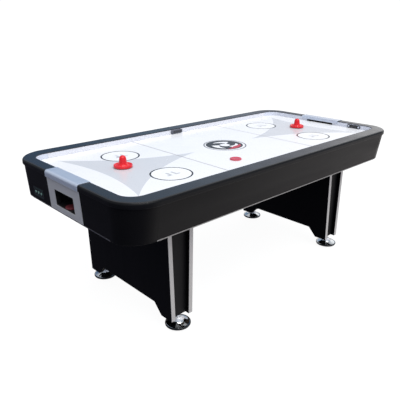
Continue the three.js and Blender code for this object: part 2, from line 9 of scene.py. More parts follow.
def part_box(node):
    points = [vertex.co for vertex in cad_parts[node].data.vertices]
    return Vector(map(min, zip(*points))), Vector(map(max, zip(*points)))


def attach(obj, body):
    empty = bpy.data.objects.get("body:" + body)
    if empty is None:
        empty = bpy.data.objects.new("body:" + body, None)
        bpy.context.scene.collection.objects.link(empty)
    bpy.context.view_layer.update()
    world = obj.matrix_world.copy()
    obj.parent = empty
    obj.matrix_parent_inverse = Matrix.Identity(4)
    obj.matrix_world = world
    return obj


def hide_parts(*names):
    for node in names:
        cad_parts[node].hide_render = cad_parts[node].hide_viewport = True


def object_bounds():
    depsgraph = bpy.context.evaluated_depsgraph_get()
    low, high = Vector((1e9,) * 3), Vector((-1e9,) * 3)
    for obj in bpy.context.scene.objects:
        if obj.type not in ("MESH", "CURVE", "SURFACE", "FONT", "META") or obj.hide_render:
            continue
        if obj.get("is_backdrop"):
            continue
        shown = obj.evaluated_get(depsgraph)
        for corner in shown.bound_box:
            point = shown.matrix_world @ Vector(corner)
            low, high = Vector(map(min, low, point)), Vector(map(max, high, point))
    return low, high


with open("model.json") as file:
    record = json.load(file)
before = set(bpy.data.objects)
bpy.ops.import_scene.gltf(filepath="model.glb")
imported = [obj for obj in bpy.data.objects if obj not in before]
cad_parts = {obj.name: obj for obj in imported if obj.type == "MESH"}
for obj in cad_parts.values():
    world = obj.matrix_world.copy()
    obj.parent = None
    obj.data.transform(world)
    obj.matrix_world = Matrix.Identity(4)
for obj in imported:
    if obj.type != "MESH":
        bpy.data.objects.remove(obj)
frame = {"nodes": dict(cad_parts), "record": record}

CAD_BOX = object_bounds()
NODES = frame["nodes"]

# ---- Sizes in millimetres: floor at z 0, middle of the table at x 0, y 0 ----
MM = 0.001
GAP = 0.3  # clearance between neighbouring pieces
HEIGHT = 787  # top of the rails
LIP = 4  # depth of the rail's inner lip
NOSE_X, NOSE_Y = 1064, 533.5  # outermost line of the rails' rounded nose
NOSE_BEVEL = 13
UNDER_NOSE = 27  # how far in the rail's underside starts
OUTER_RADIUS, INNER_RADIUS = 155, 78  # corners of the table and of the playing area
FIELD_X, FIELD_Y, FIELD_Z = 1001, 445.5, 755  # the playing area's half size and height
CORNER_X, CORNER_Y = 908, 364  # seams between the straight rails and the corner caps
APRON_TOP, TRIM_Z = 759, 591  # upper and lower edges of the aprons
APRON_SETBACK, APRON_THICK = 7, 5
SIDE_LEAN, END_LEAN = 29, 9  # how far the aprons lean in at the bottom
WALL_THICK, WALL_INSET = 7.5, 1
GOAL_HALF = 110
SLOT_LOW, SLOT_HIGH, TUNNEL_HIGH = FIELD_Z - 5, FIELD_Z + 12, FIELD_Z + 19
WINDOW_HALF, WINDOW_LOW, WINDOW_HIGH = 89, 626, 707
CAP_HALF, CAP_LOW, CAP_SKIN = 152, 597, 2.7
LEG_X, FOOT_Y = 675, 340
LEG_BOTTOM, LEG_TOP, TAPER_TOP = 53, 659.5, 660
LEG_HALF_BOTTOM, LEG_HALF_TOP, LEG_HALF_WIDTH = 67.5, 83, 374
BOARD_THICK = 24
FACE_OFF_X, FACE_OFF_Y = 598, 221  # centres of the face-off circles
FLOOR_DROP = 16  # deep enough for the feet to wind all the way down


# ---- Camera ----
def add_camera():
    place = Vector((-1.9678, -1.9054, 1.4386))
    yaw, pitch, roll = 0.7641, -0.3293, 0.0028
    ahead = math.cos(pitch)
    forward = Vector((math.sin(yaw) * ahead, math.cos(yaw) * ahead, math.sin(pitch)))
    level = Vector((math.cos(yaw), -math.sin(yaw), 0))
    up = level.cross(forward)
    right = level * math.cos(roll) + up * math.sin(roll)
    up = up * math.cos(roll) - level * math.sin(roll)
    data = bpy.data.cameras.new("camera")
    data.sensor_width, data.lens = 36, 42.02
    data.shift_x, data.shift_y = -0.0193, -0.0387
    data.clip_end = 200
    camera = bpy.data.objects.new("camera", data)
    camera.matrix_world = Matrix.Translation(place) @ Matrix((right, up, -forward)).transposed().to_4x4()
    bpy.context.scene.collection.objects.link(camera)
    bpy.context.scene.camera = camera


# ---- Materials ----
class Graph:
    """A short way to write shader nodes."""

    def __init__(self, tree):
        self.tree = tree

    def node(self, kind, inputs=None, **settings):
        made = self.tree.nodes.new(kind)
        for key, value in settings.items():
            setattr(made, key, value)
        for key, value in (inputs or {}).items():
            self.put(value, made.inputs[key])
        return made

    def put(self, value, socket):
        if isinstance(value, bpy.types.NodeSocket):
            self.tree.links.new(value, socket)
        else:
            socket.default_value = value

    def math(self, operation, a, b=0.0, clamp=False):
        made = self.node("ShaderNodeMath", {0: a, 1: b}, operation=operation)
        made.use_clamp = clamp
        return made.outputs[0]

    def span(self, value, low, high, to_low=0.0, to_high=1.0, smooth=False):
        kind = "SMOOTHSTEP" if smooth else "LINEAR"
        ends = {"Value": value, "From Min": low, "From Max": high, "To Min": to_low, "To Max": to_high}
        made = self.node("ShaderNodeMapRange", ends, interpolation_type=kind)
        return made.outputs["Result"]

    def blend(self, amount, a, b):
        made = self.node("ShaderNodeMix", data_type="RGBA")
        self.put(amount, made.inputs[0])
        self.put(a, made.inputs[6])
        self.put(b, made.inputs[7])
        return made.outputs[2]

    def place(self, stretch):
        spot = self.node("ShaderNodeTexCoord").outputs["Object"]
        if stretch != (1, 1, 1):
            spot = self.node("ShaderNodeMapping", {"Vector": spot, "Scale": stretch}).outputs[0]
        return spot

    def noise(self, scale, detail, stretch=(1, 1, 1)):
        ends = {"Vector": self.place(stretch), "Scale": scale, "Detail": detail}
        return self.node("ShaderNodeTexNoise", ends).outputs["Fac"]

    def cells(self, scale, stretch):
        return self.node("ShaderNodeTexVoronoi", {"Vector": self.place(stretch), "Scale": scale}).outputs["Color"]

    def vector(self, operation, a, b=None, out=0):
        inputs = {0: a} if b is None else {0: a, 1: b}
        return self.node("ShaderNodeVectorMath", inputs, operation=operation).outputs[out]


def empty_graph(owner):
    """A shader graph with no nodes, for a material or a world."""
    owner.use_nodes = True
    owner.node_tree.nodes.clear()
    return Graph(owner.node_tree)


def rgba(color, gain=1.0):
    return tuple(min(1.0, max(0.0, c * gain)) for c in color) + (1.0,)


def start_material(name, metal, specular, coat, sheen, aniso):
    material = bpy.data.materials.new(name)
    graph = empty_graph(material)
    shader = graph.node("ShaderNodeBsdfPrincipled")
    for key, value in (("Metallic", metal), ("Specular IOR Level", specular), ("Coat Weight", coat),
                       ("Coat Roughness", 0.08), ("Sheen Weight", sheen), ("Sheen Roughness", 0.5),
                       ("Anisotropic", aniso), ("IOR", 1.5)):
        shader.inputs[key].default_value = value
    graph.node("ShaderNodeOutputMaterial", {"Surface": shader.outputs[0]})
    return material, graph, shader


def make_material(name, color, rough, tint, tint_scale, spread, spread_scale, bump, bump_scale,
                  metal=0.0, specular=0.5, coat=0.0, sheen=0.0, aniso=0.0, stretch=(1, 1, 1),
                  worn=None, worn_radius=0.0012, air_holes=False, speckle=None, glow=0.0):
    """A surface with cloudy colour, uneven gloss, fine grain in its height, and paler worn edges."""
    material, graph, shader = start_material(name, metal, specular, coat, sheen, aniso)
    cloud = graph.noise(tint_scale, 4.0)
    base = graph.blend(cloud, rgba(color, 1 - tint), rgba(color, 1 + tint))
    grain = graph.noise(bump_scale, 2.0, stretch)
    base = graph.blend(graph.math("MULTIPLY", grain, tint, clamp=True), base, rgba(color, 0.55))
    if speckle:
        amount, speckle_scale, speckle_color = speckle
        dots = graph.cells(speckle_scale, stretch)
        pick = graph.node("ShaderNodeSeparateColor", {0: dots}).outputs[0]
        base = graph.blend(graph.span(pick, 1 - amount, 1.0), base, rgba(speckle_color))
    smudge = graph.noise(spread_scale, 5.0, stretch)
    roughness = graph.span(smudge, 0.3, 0.7, max(0.02, rough - spread), min(1.0, rough + spread))
    if worn:
        rounded = graph.node("ShaderNodeBevel", {"Radius": worn_radius}, samples=4).outputs[0]
        flat = graph.node("ShaderNodeNewGeometry").outputs["Normal"]
        edge = graph.span(graph.vector("DOT_PRODUCT", rounded, flat, "Value"), 0.995, 0.8)
        rub = graph.span(graph.noise(140.0, 4.0), 0.42, 0.62)
        base = graph.blend(graph.math("MULTIPLY", edge, rub, clamp=True), base, rgba(worn))
    height = grain
    if air_holes:
        hole = hole_mask(graph)
        base = graph.blend(hole, base, rgba((0.05, 0.05, 0.055)))
        hole_depth = 8.0  # in heights of the grain
        height = graph.math("SUBTRACT", grain, graph.math("MULTIPLY", hole, hole_depth))
    lift = graph.node("ShaderNodeBump", {"Height": height, "Distance": bump, "Strength": 1.0})
    graph.put(base, shader.inputs["Base Color"])
    graph.put(roughness, shader.inputs["Roughness"])
    graph.put(lift.outputs[0], shader.inputs["Normal"])
    if glow:
        graph.put(base, shader.inputs["Emission Color"])
        shader.inputs["Emission Strength"].default_value = glow
    return material


def hole_mask(graph):
    """Air holes 1.4 mm across on a 25.4 mm grid, with slightly soft rims."""
    pitch, radius = 0.0254, 0.0007
    flat = graph.vector("MULTIPLY", graph.place((1, 1, 1)), (1, 1, 0))
    part = graph.vector("FRACTION", graph.vector("DIVIDE", flat, (pitch, pitch, 1)))
    offset = graph.vector("SUBTRACT", part, (0.5, 0.5, 0))
    far = graph.vector("LENGTH", offset, out="Value")
    return graph.span(far, radius / pitch * 1.15, radius / pitch * 0.85)


def make_materials():
    m = {}
    m["rail"] = make_material("rail_laminate", (0.012, 0.014, 0.018), 0.27, specular=0.5, tint=0.25, tint_scale=5,
                              spread=0.05, spread_scale=16, bump=0.00003, bump_scale=1300,
                              worn=(0.05, 0.055, 0.06))
    # The same laminate as the rail top, made darker and less glossy: painted shade on the rounded nose and below.
    m["nose"] = make_material("nose_laminate_painted_shade", (0.005, 0.0052, 0.0062), 0.36, specular=0.14, tint=0.3,
                              tint_scale=7, spread=0.06, spread_scale=14, bump=0.00004, bump_scale=1400,
                              worn=(0.035, 0.036, 0.04))
    m["apron"] = make_material("apron_laminate", (0.0035, 0.0035, 0.004), 0.42, specular=0.12, tint=0.3,
                               tint_scale=7, spread=0.07, spread_scale=11, stretch=(0.12, 0.12, 1), bump=0.00008,
                               bump_scale=1500, worn=(0.03, 0.03, 0.032))
    m["leg_board"] = make_material("leg_laminate", (0.003, 0.003, 0.0033), 0.46, specular=0.1, tint=0.3,
                                   tint_scale=7, spread=0.07, spread_scale=10, stretch=(1, 1, 0.12), bump=0.00008,
                                   bump_scale=1500, worn=(0.03, 0.03, 0.032))
    m["leg_panel"] = make_material("leg_panel_laminate", (0.0055, 0.0055, 0.006), 0.5, specular=0.14, tint=0.3,
                                   tint_scale=6, spread=0.06, spread_scale=10, stretch=(1, 1, 0.12), bump=0.00008,
                                   bump_scale=1500, worn=(0.03, 0.03, 0.032))
    m["playfield"] = make_material("playfield_laminate", (0.9, 0.905, 0.925), 0.22, specular=0.4, tint=0.012,
                                   tint_scale=3, spread=0.05, spread_scale=7, bump=0.000008, bump_scale=2200,
                                   air_holes=True)
    ink = dict(specular=0.4, spread=0.04, spread_scale=8, bump=0.000008, bump_scale=2200, air_holes=True)
    for name, color, rough, tint, tint_scale in (("print_grey", (0.655, 0.67, 0.705), 0.24, 0.02, 4),
                                                 ("print_white", (0.93, 0.935, 0.95), 0.24, 0.012, 4),
                                                 ("print_dark", (0.02, 0.0205, 0.023), 0.34, 0.1, 8),
                                                 ("print_pale", (0.37, 0.355, 0.365), 0.34, 0.1, 8),
                                                 ("print_slate", (0.1, 0.1, 0.11), 0.34, 0.1, 8),
                                                 ("print_mid", (0.53, 0.53, 0.55), 0.3, 0.06, 8),
                                                 ("print_red", (0.5, 0.03, 0.06), 0.34, 0.1, 8)):
        m[name] = make_material(name, color, rough, tint, tint_scale, **ink)
    m["wall"] = make_material("wall_plastic", (0.8, 0.8, 0.845), 0.38, specular=0.4, tint=0.03, tint_scale=4,
                              spread=0.06, spread_scale=12, bump=0.00003, bump_scale=1100, worn=(0.6, 0.6, 0.66))
    # A darker, bluer copy of the wall plastic: painted cool shade on the end walls.
    m["end_wall"] = make_material("end_wall_plastic_painted_shade", (0.7, 0.73, 0.82), 0.38, specular=0.4, tint=0.03,
                                  tint_scale=4, spread=0.06, spread_scale=12, bump=0.00003, bump_scale=1100,
                                  worn=(0.6, 0.6, 0.66))
    # A copy of the silver paint, bluer and fully coated: painted sheen on the goal caps' top and nose.
    m["silver_top"] = make_material("silver_paint_painted_sheen", (0.565, 0.64, 0.775), 0.38, metal=0.35, specular=0.6,
                                    coat=1.0, tint=0.06, tint_scale=10, spread=0.06, spread_scale=22, bump=0.00003,
                                    bump_scale=1800, speckle=(0.2, 2600.0, (0.6, 0.64, 0.72)),
                                    worn=(0.6, 0.62, 0.66))
    m["silver"] = make_material("silver_paint", (0.73, 0.735, 0.73), 0.42, metal=0.35, specular=0.5, coat=0.15,
                                tint=0.06, tint_scale=10, spread=0.06, spread_scale=22, bump=0.00003,
                                bump_scale=1800, speckle=(0.2, 2600.0, (0.62, 0.65, 0.7)), worn=(0.6, 0.62, 0.65))
    m["band"] = make_material("silver_banding", (0.5, 0.49, 0.475), 0.36, metal=0.35, specular=0.5, tint=0.05,
                              tint_scale=10, spread=0.05, spread_scale=24, stretch=(1, 1, 0.08), bump=0.00002,
                              bump_scale=1800, worn=(0.7, 0.7, 0.72))
    m["trim"] = make_material("brushed_aluminium", (0.3, 0.3, 0.3), 0.34, metal=0.9, aniso=0.6, tint=0.07,
                              tint_scale=14, spread=0.08, spread_scale=50, stretch=(0.02, 0.02, 1), bump=0.00003,
                              bump_scale=2600, worn=(0.75, 0.75, 0.76))
    m["chrome"] = make_material("polished_chrome", (0.6, 0.63, 0.65), 0.07, metal=1.0, tint=0.02, tint_scale=30,
                                spread=0.03, spread_scale=60, bump=0.000006, bump_scale=700,
                                worn=(0.9, 0.9, 0.9), worn_radius=0.0006)
    # Near-white satin on the feet's chrome hubs: a painted highlight.
    m["nickel"] = make_material("hub_white_painted_highlight", (0.86, 0.87, 0.89), 0.34, metal=0.3, specular=0.6, tint=0.04,
                                tint_scale=40, spread=0.05, spread_scale=60, bump=0.00001, bump_scale=900,
                                worn=(0.9, 0.9, 0.9), worn_radius=0.0006)
    m["dark_chrome"] = make_material("dark_plated_rim", (0.02, 0.021, 0.023), 0.24, metal=0.5, tint=0.1,
                                     tint_scale=30, spread=0.05, spread_scale=60, bump=0.000006, bump_scale=700)
    m["dark_plastic"] = make_material("dark_moulded_plastic", (0.01, 0.01, 0.011), 0.48, specular=0.35, tint=0.2,
                                      tint_scale=20, spread=0.08, spread_scale=30, bump=0.00006, bump_scale=1400,
                                      worn=(0.05, 0.05, 0.055))
    m["gloss_panel"] = make_material("dark_gloss_panel", (0.003, 0.006, 0.005), 0.2, specular=0.3, coat=0.1,
                                     tint=0.2, tint_scale=20, spread=0.05, spread_scale=40, bump=0.00001,
                                     bump_scale=900, worn=(0.05, 0.055, 0.055))
    m["slate_plastic"] = make_material("slate_plastic", (0.105, 0.11, 0.14), 0.34, specular=0.5, tint=0.1,
                                       tint_scale=22, spread=0.07, spread_scale=35, bump=0.00004, bump_scale=1300,
                                       worn=(0.2, 0.22, 0.26), worn_radius=0.0006)
    m["lens"] = make_material("smoked_lens", (0.012, 0.012, 0.02), 0.1, specular=0.5, coat=0.5, tint=0.2,
                              tint_scale=25, spread=0.04, spread_scale=60, bump=0.000004, bump_scale=600)
    m["pale_plastic"] = make_material("pale_plastic", (0.66, 0.71, 0.82), 0.3, specular=0.5, coat=0.2, tint=0.05,
                                      tint_scale=60, spread=0.05, spread_scale=70, bump=0.00002, bump_scale=1500,
                                      worn=(0.8, 0.84, 0.9), worn_radius=0.0004)
    m["green_key"] = make_material("lit_key", (0.17, 0.3, 0.255), 0.3, specular=0.5, tint=0.12, tint_scale=90,
                                   spread=0.05, spread_scale=80, bump=0.00002, bump_scale=1500, glow=0.08)
    m["green_print"] = make_material("green_print", (0.012, 0.06, 0.042), 0.3, specular=0.4, tint=0.15,
                                     tint_scale=60, spread=0.05, spread_scale=80, bump=0.00001, bump_scale=1500)
    m["red_plastic"] = make_material("red_gloss_plastic", (0.78, 0.008, 0.018), 0.3, specular=0.45, coat=0.12,
                                     tint=0.08, tint_scale=30, spread=0.06, spread_scale=45, bump=0.00002,
                                     bump_scale=800, worn=(0.85, 0.12, 0.12), worn_radius=0.0008)
    m["puck_red"] = make_material("red_puck_plastic", (0.6, 0.045, 0.085), 0.3, specular=0.5, tint=0.08,
                                  tint_scale=40, spread=0.08, spread_scale=60, bump=0.00003, bump_scale=900,
                                  worn=(0.75, 0.3, 0.32), worn_radius=0.0006)
    # A darker copy of the puck plastic: painted shade for the spare puck inside the goal box, with a little more
    # mottling and scuffing.
    m["puck_scuffed"] = make_material("puck_plastic_painted_shade_and_scuffs", (0.2, 0.035, 0.045), 0.36, specular=0.5, tint=0.16,
                                      tint_scale=40, spread=0.1, spread_scale=60, bump=0.00003, bump_scale=900,
                                      worn=(0.4, 0.2, 0.2), worn_radius=0.0006)
    m["felt"] = make_material("grey_felt", (0.045, 0.045, 0.048), 0.95, specular=0.2, sheen=0.6, tint=0.35,
                              tint_scale=260, spread=0.04, spread_scale=90, bump=0.0004, bump_scale=1600)
    m["board"] = make_material("raw_fibreboard", (0.13, 0.09, 0.058), 0.85, specular=0.2, tint=0.25,
                               tint_scale=120, spread=0.06, spread_scale=50, stretch=(0.4, 0.4, 1), bump=0.00012,
                               bump_scale=900, speckle=(0.16, 700.0, (0.07, 0.045, 0.028)),
                               worn=(0.24, 0.17, 0.11))
    m["steel"] = make_material("zinc_steel", (0.36, 0.38, 0.4), 0.34, metal=0.95, tint=0.14, tint_scale=60,
                               spread=0.09, spread_scale=45, bump=0.00002, bump_scale=700,
                               speckle=(0.35, 160.0, (0.45, 0.47, 0.5)), worn=(0.6, 0.6, 0.62))
    m["rubber"] = make_material("black_rubber", (0.012, 0.012, 0.012), 0.75, specular=0.3, tint=0.25, tint_scale=60,
                                spread=0.08, spread_scale=50, bump=0.0001, bump_scale=1200)
    return m


# ---- Mesh helpers: points in millimetres, meshes in metres, objects at the origin ----
def new_piece(name, points, faces, materials, pick=None, sharp=38):
    mesh = bpy.data.meshes.new(name)
    mesh.from_pydata([tuple(c * MM for c in p) for p in points], [], faces)
    for material in materials:
        mesh.materials.append(material)
    tidy_mesh(mesh, pick, sharp)
    piece = bpy.data.objects.new(name, mesh)
    bpy.context.scene.collection.objects.link(piece)
    return piece


def tidy_mesh(mesh, pick=None, sharp=38):
    """Outward normals, no face of more than four corners, smooth shading up to sharp degrees, looks by pick."""
    made = bmesh.new()
    made.from_mesh(mesh)
    bmesh.ops.recalc_face_normals(made, faces=made.faces)
    large = [f for f in made.faces if len(f.verts) > 4]
    bmesh.ops.triangulate(made, faces=large)
    for face in made.faces:
        face.smooth = True
        if pick:
            face.material_index = pick(face.calc_center_median() / MM)
    for edge in made.edges:
        edge.smooth = len(edge.link_faces) == 2 and edge.calc_face_angle(0) <= math.radians(sharp)
    made.to_mesh(mesh)
    made.free()


def soften(piece, width, segments=2, angle=50, pick=None):
    """Small rounded edges, with the flat faces left looking flat."""
    bevel = piece.modifiers.new("edges", "BEVEL")
    bevel.width = width * MM
    bevel.segments = segments
    bevel.limit_method = "ANGLE"
    bevel.angle_limit = math.radians(angle)
    bake(piece)
    tidy_mesh(piece.data, pick, sharp=60)
    level_normals(piece)
    return piece


def level_normals(piece):
    modifier = piece.modifiers.new("normals", "WEIGHTED_NORMAL")
    modifier.keep_sharp = True
    modifier.weight = 80


def bake(piece):
    """Applies the piece's modifiers to its mesh."""
    graph = bpy.context.evaluated_depsgraph_get()
    graph.update()
    mesh = bpy.data.meshes.new_from_object(piece.evaluated_get(graph))
    old = piece.data
    piece.modifiers.clear()
    piece.data = mesh
    bpy.data.meshes.remove(old)
    mesh.name = piece.name


def cut(piece, cutter):
    """Takes the cutter's shape out of the piece, and removes the cutter."""
    modifier = piece.modifiers.new("cut", "BOOLEAN")
    modifier.operation = "DIFFERENCE"
    modifier.solver = "EXACT"
    modifier.object = cutter
    bake(piece)
    mesh = cutter.data
    bpy.data.objects.remove(cutter)
    bpy.data.meshes.remove(mesh)
    tidy_mesh(piece.data)


def carry(rings):
    """Faces joining rings of equally many points, closed at both ends."""
    count, last = len(rings[0]), len(rings) - 1
    points = [p for ring in rings for p in ring]
    faces = []
    for here in range(0, last * count, count):
        there = here + count
        for k in range(count):
            n = (k + 1) % count
            faces.append((here + k, here + n, there + n, there + k))
    faces.append(tuple(range(count)))
    faces.append(tuple(last * count + k for k in range(count)))
    return points, faces


def prism(outline, low, high, place):
    """An outline of (u, v) points between depths low and high, put in the room by place(u, v, w)."""
    return carry([[place(u, v, w) for u, v in outline] for w in (low, high)])


def circle(cx, cy, radius, steps=96):
    return [(cx + radius * math.cos(math.tau * k / steps), cy + radius * math.sin(math.tau * k / steps))
            for k in range(steps)]


def lathe(profile, x, y, z, steps=72):
    """A turned piece from (radius, height) points that start and end on the axis."""
    points, rows = [], []
    for radius, height in profile:
        if radius < 1e-6:
            rows.append([len(points)] * steps)
            points.append((x, y, z + height))
        else:
            rows.append(list(range(len(points), len(points) + steps)))
            points += [(u, v, z + height) for u, v in circle(x, y, radius, steps)]
    faces = []
    for a, b in zip(rows, rows[1:]):
        for k in range(steps):
            n = (k + 1) % steps
            face = tuple(dict.fromkeys((a[k], a[n], b[n], b[k])))
            if len(face) > 2:
                faces.append(face)
    return points, faces


def arc(cu, cv, radius, start, end, steps):
    angles = [math.radians(start + (end - start) * k / steps) for k in range(steps + 1)]
    return [(cu + radius * math.cos(a), cv + radius * math.sin(a)) for a in angles]


def round_rect(half_u, half_v, radius, steps=6, cu=0.0, cv=0.0):
    u, v = half_u - radius, half_v - radius
    return (arc(cu + u, cv - v, radius, -90, 0, steps) + arc(cu + u, cv + v, radius, 0, 90, steps)
            + arc(cu - u, cv + v, radius, 90, 180, steps) + arc(cu - u, cv - v, radius, 180, 270, steps))


def fillet(corners, radii, steps):
    """An open path with its inner corners rounded."""
    path = [corners[0]]
    for before, corner, after, radius in zip(corners, corners[1:], corners[2:], radii):
        corner_v = Vector(corner)
        a, b = Vector(before) - corner_v, Vector(after) - corner_v
        reach = min(radius / math.tan(a.angle(b) / 2), a.length * 0.49, b.length * 0.49)
        start, end = corner_v + a.normalized() * reach, corner_v + b.normalized() * reach
        for k in range(steps + 1):
            t = k / steps
            path.append(tuple(start * (1 - t) ** 2 + corner_v * 2 * t * (1 - t) + end * t ** 2))
    path.append(corners[-1])
    return path


def offset_path(path, distance):
    """The path moved to its left by a distance, keeping the sheet's thickness at the bends."""
    moved = []
    for k in range(len(path)):
        before, here, after = (Vector(path[min(len(path) - 1, max(0, k + d))]) for d in (-1, 0, 1))
        normals = []
        for a, b in ((before, here), (here, after)):
            along = b - a
            if along.length > 1e-9:
                normals.append(Vector((-along.y, along.x)).normalized())
        middle = sum(normals, Vector((0, 0))).normalized()
        stretch = 1 / max(0.5, middle.dot(normals[0]))
        moved.append(tuple(here + middle * distance * stretch))
    return moved


def block(name, x0, x1, y0, y1, z0, z1, radius=0.0):
    """A cutter: a box along x, with its long edges rounded where a radius is given."""
    steps = 5 if radius else 1
    outline = round_rect((y1 - y0) / 2, (z1 - z0) / 2, max(radius, 0.01), steps, (y0 + y1) / 2, (z0 + z1) / 2)
    return new_piece(name, *prism(outline, x0, x1, lambda u, v, w: (w, u, v)), [])


# ---- Rim: one section carried along the table's edge ----
def rim_point(station, spot):
    """Where a spot of the section lies at a station: an angle round the corner, or a straight stretch's end."""
    edge, inset, z, lean_x, lean_y = spot
    angle, fixed, at, sign_x, sign_y = station
    cos, sin = math.cos(angle), math.sin(angle)
    if edge == "out":
        x = NOSE_X - OUTER_RADIUS + (OUTER_RADIUS - inset - lean_x) * cos
        y = NOSE_Y - OUTER_RADIUS + (OUTER_RADIUS - inset - lean_y) * sin
    else:
        x = FIELD_X - INNER_RADIUS + (INNER_RADIUS + inset) * cos
        y = FIELD_Y - INNER_RADIUS + (INNER_RADIUS + inset) * sin
    if fixed == "x":
        x = at
    if fixed == "y":
        y = at
    return sign_x * x, sign_y * y, z


def side_stations(sign_y):
    return [(math.pi / 2, "x", at, 1, sign_y) for at in (-CORNER_X + GAP / 2, CORNER_X - GAP / 2)]


def end_stations(sign_x):
    return [(0.0, "y", at, sign_x, 1) for at in (-CORNER_Y + GAP / 2, CORNER_Y - GAP / 2)]


def corner_stations(sign_x, sign_y, steps=30):
    stations = [(math.pi / 2, "x", CORNER_X + GAP / 2, sign_x, sign_y)]
    stations += [(math.pi / 2 * (1 - k / steps), None, 0, sign_x, sign_y) for k in range(steps + 1)]
    stations.append((0.0, "y", CORNER_Y + GAP / 2, sign_x, sign_y))
    return stations


def spots(edge, pairs):
    """Spots (inset, z) measured from the nose ("out") or from the playing area's edge ("in"), with no lean."""
    return [(edge, inset, z, 0, 0) for inset, z in pairs]


def nose_spots():
    """Top edge, rounded nose and its rounded underside, from the playing area outward."""
    lip = spots("in", [(0, HEIGHT - LIP), (0, HEIGHT - 2)]
                + [(2 - u, v) for u, v in arc(0, HEIGHT - 2, 2, 15, 90, 4)])
    top = spots("out", [(NOSE_BEVEL - u, v) for u, v in arc(0, HEIGHT - NOSE_BEVEL, NOSE_BEVEL, 90, 0, 10)])
    low = spots("out", [(2.3 - u, v) for u, v in arc(0, APRON_TOP + 2.6, 2.3, 0, -90, 4)])
    return lip + top + low


def sweep(section, stations):
    return carry([[rim_point(s, spot) for spot in section] for s in stations])


def rim_inset(x, y):
    """Distance in from the nose of a spot seen from above."""
    dx, dy = abs(x) - (NOSE_X - OUTER_RADIUS), abs(y) - (NOSE_Y - OUTER_RADIUS)
    if dx > 0 and dy > 0:
        return OUTER_RADIUS - math.hypot(dx, dy)
    return min(NOSE_X - abs(x), NOSE_Y - abs(y))


def nose_pick(centre):
    """The flat top keeps the rail's laminate; the rounded nose and below take a darker, less glossy copy of it,
    which is painted shade.
    """
    return 1 if centre.z < HEIGHT - 2.6 and rim_inset(centre.x, centre.y) < NOSE_BEVEL + 1 else 0


def add_rails(m):
    under = APRON_TOP + GAP
    inner = WALL_THICK + WALL_INSET + GAP
    section = nose_spots() + spots("out", [(UNDER_NOSE, under), (UNDER_NOSE, FIELD_Z + GAP)]) + spots(
        "in", [(inner, FIELD_Z + GAP), (inner, HEIGHT - LIP)])
    for name, stations, end in (("near", side_stations(-1), 0), ("far", side_stations(1), 0),
                                ("left", end_stations(-1), -1), ("right", end_stations(1), 1)):
        piece = new_piece(f"rail_{name}", *sweep(section, stations), [m["rail"], m["nose"]], nose_pick)
        if end:
            x0, x1 = sorted((end * (FIELD_X - 5), end * (NOSE_X - UNDER_NOSE + 6)))
            half = GOAL_HALF + 3
            cut(piece, block("tunnel", x0, x1, -half, half, SLOT_LOW, TUNNEL_HIGH))
        own(soften(piece, 0.45, pick=nose_pick), "table", "rail", f"top_rail_{name}")


def own(piece, body, slot, *replaced):
    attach(piece, body)
    if replaced:
        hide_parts(*replaced)
    return piece


def add_corner_caps(m):
    wall = APRON_SETBACK + APRON_THICK
    section = nose_spots()[:-1] + spots("out", [(2.3, APRON_TOP), (APRON_SETBACK, APRON_TOP)]) + [
        ("out", APRON_SETBACK, TRIM_Z + 0.8, END_LEAN, SIDE_LEAN),
        ("out", APRON_SETBACK + 0.8, TRIM_Z, END_LEAN, SIDE_LEAN),
        ("out", wall - 0.8, TRIM_Z, END_LEAN, SIDE_LEAN),
        ("out", wall, TRIM_Z + 0.8, END_LEAN, SIDE_LEAN),
        ("out", wall, HEIGHT - 16, 0, 0),
        ("out", wall + 10, HEIGHT - LIP, 0, 0),
    ]

    def pick(centre):
        return nose_pick(centre) if centre.z > APRON_TOP + 0.05 else 2

    for side, sign_y in (("near", -1), ("far", 1)):
        for end, sign_x in (("left", -1), ("right", 1)):
            points, faces = sweep(section, corner_stations(sign_x, sign_y))
            piece = new_piece(f"corner_{side}_{end}", points, faces, [m["rail"], m["nose"], m["apron"]], pick)
            own(soften(piece, 0.45, angle=60, pick=pick), "table", "rail", f"corner_cap_{side}_{end}")


def add_end_walls(m):
    front, back = WALL_INSET, WALL_INSET + WALL_THICK
    top, foot = HEIGHT - LIP - GAP, FIELD_Z + GAP
    section = spots("in", [(front, foot), (front, top - 0.8), (front + 0.8, top), (back, top), (back, foot)])
    for name, sign in (("left", -1), ("right", 1)):
        far = corner_stations(sign, 1, 24)[:-1]
        near = list(reversed(corner_stations(sign, -1, 24)[:-1]))
        # The end walls take the darker, bluer copy of the wall plastic, which is painted shade.
        piece = new_piece(f"end_wall_moulding_{name}", *sweep(section, far + near), [m["end_wall"]])
        x0, x1 = sorted((sign * (FIELD_X - 9), sign * (FIELD_X + 19)))
        cut(piece, block("slot", x0, x1, -GOAL_HALF, GOAL_HALF, SLOT_LOW, SLOT_HIGH))
        own(soften(piece, 0.4), "table", "wall", f"end_wall_{name}")


# ---- Goal caps ----
def apron_x(z):
    return NOSE_X - APRON_SETBACK - END_LEAN * ((APRON_TOP - z) / (APRON_TOP - TRIM_Z))


def cap_pick(centre):
    """The top and the nose take a bluer, fully coated copy of the silver paint, a painted sheen; the face below is
    duller.
    """
    return 1 if centre.z > APRON_TOP + 6 else 0


